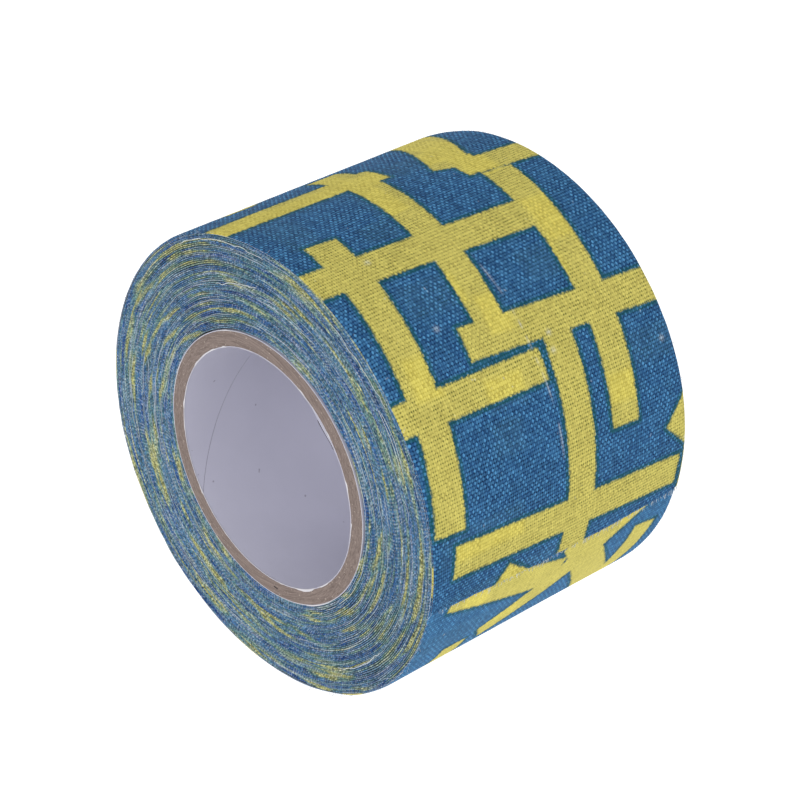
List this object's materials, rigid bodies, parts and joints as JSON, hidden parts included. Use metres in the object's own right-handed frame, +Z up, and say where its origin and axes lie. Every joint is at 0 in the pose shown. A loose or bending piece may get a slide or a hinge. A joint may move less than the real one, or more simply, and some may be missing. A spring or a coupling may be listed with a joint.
{
  "type": "grip tape roll",
  "caption": "Roll of printed cloth grip tape on a paperboard core, with a cut end that peels up from the roll.",
  "frame": {"origin": "the middle of the core's bore, on its axis and half way across the tape", "axes": "+Y along the bore from the front end face to the back one, +Z up with the roll lying on its curved side, +X to the right as seen from the front"},
  "size_m": [0.0716, 0.05, 0.0715],
  "materials": {
    "printed_cloth": "plain-weave cotton with a blue and yellow print",
    "tape_adhesive": "tacky natural-rubber coating",
    "kraft_board": "cut edge of grey-brown kraft board",
    "liner_paper": "smooth uncoated white paper"
  },
  "bodies": {
    "roll": {"core_inner_liner": "liner_paper", "core_kraft_ply_1": "kraft_board", "core_kraft_ply_2": "kraft_board", "core_kraft_ply_3": "kraft_board", "core_outer_liner": "liner_paper", "tape_winding": "printed_cloth", "outer_turn_cloth": "printed_cloth", "outer_turn_adhesive": "tape_adhesive"},
    "tail": {"tail_cloth": "printed_cloth", "tail_adhesive": "tape_adhesive"}
  },
  "joints": [
    {"name": "tail_peel", "type": "hinge", "parent": "roll", "child": "tail", "pos_m": [0.03254, 0, 0.01497], "axis": [0, -1, 0], "range_deg": [0, 120]}
  ]
}
